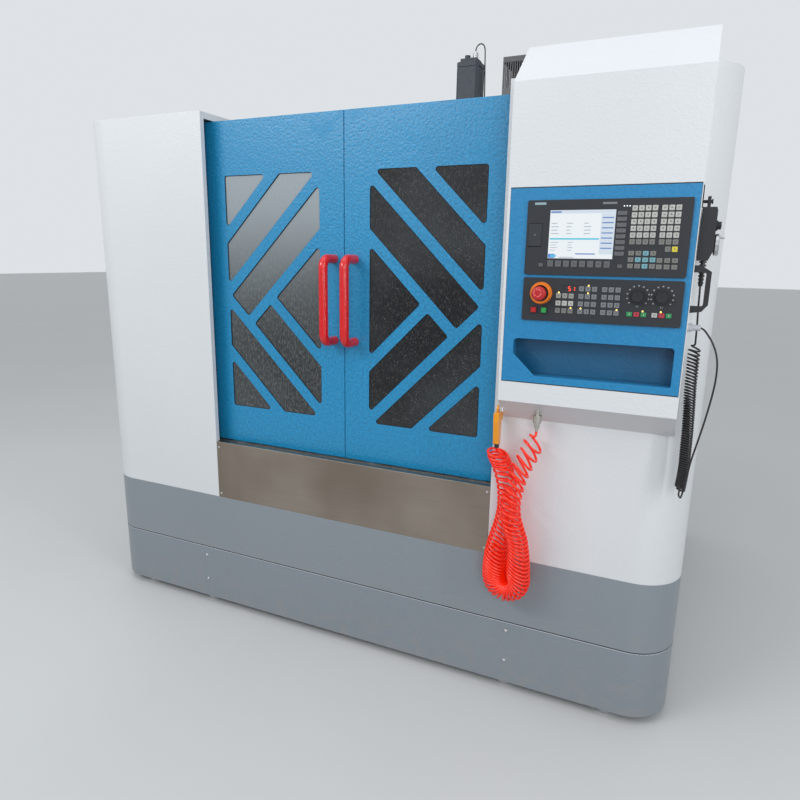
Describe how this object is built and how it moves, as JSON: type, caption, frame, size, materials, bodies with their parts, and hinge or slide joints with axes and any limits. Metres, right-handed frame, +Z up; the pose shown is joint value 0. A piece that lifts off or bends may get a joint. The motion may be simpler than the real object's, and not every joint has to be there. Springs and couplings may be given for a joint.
{
  "type": "vertical machining centre",
  "caption": "Enclosed vertical machining centre with sliding windowed doors, a control box with hand pendant, and a column machine with tool carousel inside.",
  "frame": {"origin": "middle of the machine's footprint, on the floor", "axes": "+X to the operator's right, +Y to the back of the machine, +Z up"},
  "size_m": [2.3687, 1.8892, 2.444],
  "materials": {
    "white_sheet": "satin",
    "grey_sheet": "satin",
    "blue_sheet": "satin",
    "stainless": "brushed",
    "casting": "painted",
    "ground_iron": "ground",
    "bright_steel": "ground",
    "motor_case": "painted",
    "dark_sheet": "satin",
    "door_glass": "polished",
    "screen_glass": "polished",
    "panel_plastic": "satin",
    "key_plastic": "satin",
    "handle_red": "glossy",
    "black_plastic": "satin",
    "red_plastic": "glossy",
    "green_plastic": "glossy",
    "orange_plastic": "satin",
    "cable_rubber": "matte",
    "brass_fitting": "plated",
    "hose_plastic": "glossy",
    "gun_yellow": "glossy"
  },
  "bodies": {
    "frame": {"levelling_feet": "bright_steel", "lower_skirt": "grey_sheet", "upper_skirt": "grey_sheet", "left_cover": "white_sheet", "right_cover": "white_sheet", "splash_guard": "stainless", "sill_panel": "stainless", "door_rails": "stainless", "bed": "casting", "column": "casting", "axis_servos": "motor_case", "magazine_bracket": "casting", "electrical_cabinet": "white_sheet", "resistor_box": "dark_sheet", "control_box": "white_sheet", "control_fascia": "blue_sheet", "display_unit": "panel_plastic", "screen": "screen_glass", "panel_keys": "key_plastic", "operator_panel": "panel_plastic", "estop_guard": "orange_plastic", "pendant_body": "black_plastic", "pendant_bracket": "black_plastic", "side_handle": "black_plastic", "cable_glands": "black_plastic", "pendant_cable": "cable_rubber", "pendant_coil": "cable_rubber", "pendant_cable_return": "cable_rubber", "air_coupler": "brass_fitting", "air_hose": "hose_plastic", "air_gun": "gun_yellow"},
    "left_door": {"left_door": "blue_sheet", "left_window": "door_glass", "left_door_handle": "handle_red"},
    "right_door": {"right_door": "blue_sheet", "right_window": "door_glass", "right_door_handle": "handle_red"},
    "saddle": {"saddle": "casting", "x_servo": "motor_case"},
    "table": {"table": "ground_iron"},
    "head": {"headstock": "casting", "spindle_motor": "motor_case"},
    "spindle": {"spindle": "bright_steel"},
    "x_screw": {"x_ball_screw": "bright_steel"},
    "y_screw": {"y_ball_screw": "bright_steel"},
    "z_screw": {"z_ball_screw": "bright_steel"},
    "magazine_carriage": {"magazine_carriage": "motor_case"},
    "carousel": {"tool_carousel": "bright_steel"},
    "cabinet_door": {"cabinet_door": "white_sheet"},
    "main_switch": {"main_switch": "red_plastic"},
    "port_cover": {"port_cover": "panel_plastic"},
    "estop_button": {"estop_button": "red_plastic"},
    "feed_dial": {"feed_dial": "black_plastic"},
    "spindle_dial": {"spindle_dial": "black_plastic"},
    "power_on_button": {"power_on_button": "green_plastic"},
    "power_off_button": {"power_off_button": "red_plastic"},
    "pendant_wheel": {"pendant_wheel": "bright_steel"},
    "pendant_knob": {"pendant_knob": "black_plastic"},
    "air_gun_trigger": {"air_gun_trigger": "black_plastic"}
  },
  "joints": [
    {"name": "left_door_slide", "type": "slide", "parent": "frame", "child": "left_door", "axis": [-1, 0, 0], "range_m": [0, 0.485]},
    {"name": "right_door_slide", "type": "slide", "parent": "frame", "child": "right_door", "axis": [1, 0, 0], "range_m": [0, 0.485]},
    {"name": "saddle_slide", "type": "slide", "parent": "frame", "child": "saddle", "axis": [0, 1, 0], "range_m": [-0.2, 0.2]},
    {"name": "table_slide", "type": "slide", "parent": "saddle", "child": "table", "axis": [1, 0, 0], "range_m": [-0.3, 0.3]},
    {"name": "head_slide", "type": "slide", "parent": "frame", "child": "head", "axis": [0, 0, 1], "range_m": [-0.4, 0.1]},
    {"name": "spindle_spin", "type": "hinge", "parent": "head", "child": "spindle", "pos_m": [0, 0.0045, 1.5], "axis": [0, 0, 1], "continuous": true},
    {"name": "x_screw_spin", "type": "hinge", "parent": "saddle", "child": "x_screw", "pos_m": [0, 0.0045, 0.695], "axis": [1, 0, 0], "continuous": true},
    {"name": "y_screw_spin", "type": "hinge", "parent": "frame", "child": "y_screw", "pos_m": [0, -0.0055, 0.54], "axis": [0, 1, 0], "continuous": true},
    {"name": "z_screw_spin", "type": "hinge", "parent": "frame", "child": "z_screw", "pos_m": [0, 0.5345, 1.3], "axis": [0, 0, 1], "continuous": true},
    {"name": "magazine_slide", "type": "slide", "parent": "frame", "child": "magazine_carriage", "axis": [1, 0, 0], "range_m": [0, 0.25]},
    {"name": "carousel_spin", "type": "hinge", "parent": "magazine_carriage", "child": "carousel", "pos_m": [-0.48, 0.0045, 1.38], "axis": [0, 0, 1], "continuous": true},
    {"name": "cabinet_door_hinge", "type": "hinge", "parent": "frame", "child": "cabinet_door", "pos_m": [1.157, 0.9055, 1.2], "axis": [0, 0, -1], "range_deg": [0, 110]},
    {"name": "main_switch_turn", "type": "hinge", "parent": "cabinet_door", "child": "main_switch", "pos_m": [0.41, 0.9245, 1.356], "axis": [0, 1, 0], "range_deg": [0, 90]},
    {"name": "port_cover_hinge", "type": "hinge", "parent": "frame", "child": "port_cover", "pos_m": [0.6955, -0.9009, 1.4972], "axis": [1, 0, 0], "range_deg": [0, 100]},
    {"name": "estop_press", "type": "slide", "parent": "frame", "child": "estop_button", "axis": [0, 1, 0], "range_m": [0, 0.006], "stiffness_N_per_m": 1500},
    {"name": "feed_dial_turn", "type": "hinge", "parent": "frame", "child": "feed_dial", "pos_m": [0.98, -0.9025, 1.369], "axis": [0, 1, 0], "range_deg": [-135, 135]},
    {"name": "spindle_dial_turn", "type": "hinge", "parent": "frame", "child": "spindle_dial", "pos_m": [1.04, -0.9025, 1.369], "axis": [0, 1, 0], "range_deg": [-135, 135]},
    {"name": "power_on_press", "type": "slide", "parent": "frame", "child": "power_on_button", "axis": [0, 1, 0], "range_m": [0, 0.003], "stiffness_N_per_m": 800},
    {"name": "power_off_press", "type": "slide", "parent": "frame", "child": "power_off_button", "axis": [0, 1, 0], "range_m": [0, 0.003], "stiffness_N_per_m": 800},
    {"name": "pendant_wheel_turn", "type": "hinge", "parent": "frame", "child": "pendant_wheel", "pos_m": [1.1473, -0.8405, 1.504], "axis": [1, 0, 0], "continuous": true},
    {"name": "pendant_knob_turn", "type": "hinge", "parent": "frame", "child": "pendant_knob", "pos_m": [1.1473, -0.8405, 1.552], "axis": [1, 0, 0], "range_deg": [-75, 75]},
    {"name": "trigger_squeeze", "type": "hinge", "parent": "frame", "child": "air_gun_trigger", "pos_m": [0.6033, -0.8435, 0.956], "axis": [-1, 0, 0], "range_deg": [0, 12], "stiffness_Nm_per_rad": 1.2, "springref_deg": -5.73}
  ],
  "couplings": [
    {"joint": "x_screw_spin", "follows": "table_slide", "rad_per_m": -628.32},
    {"joint": "y_screw_spin", "follows": "saddle_slide", "rad_per_m": -628.32},
    {"joint": "z_screw_spin", "follows": "head_slide", "rad_per_m": -628.32}
  ]
}
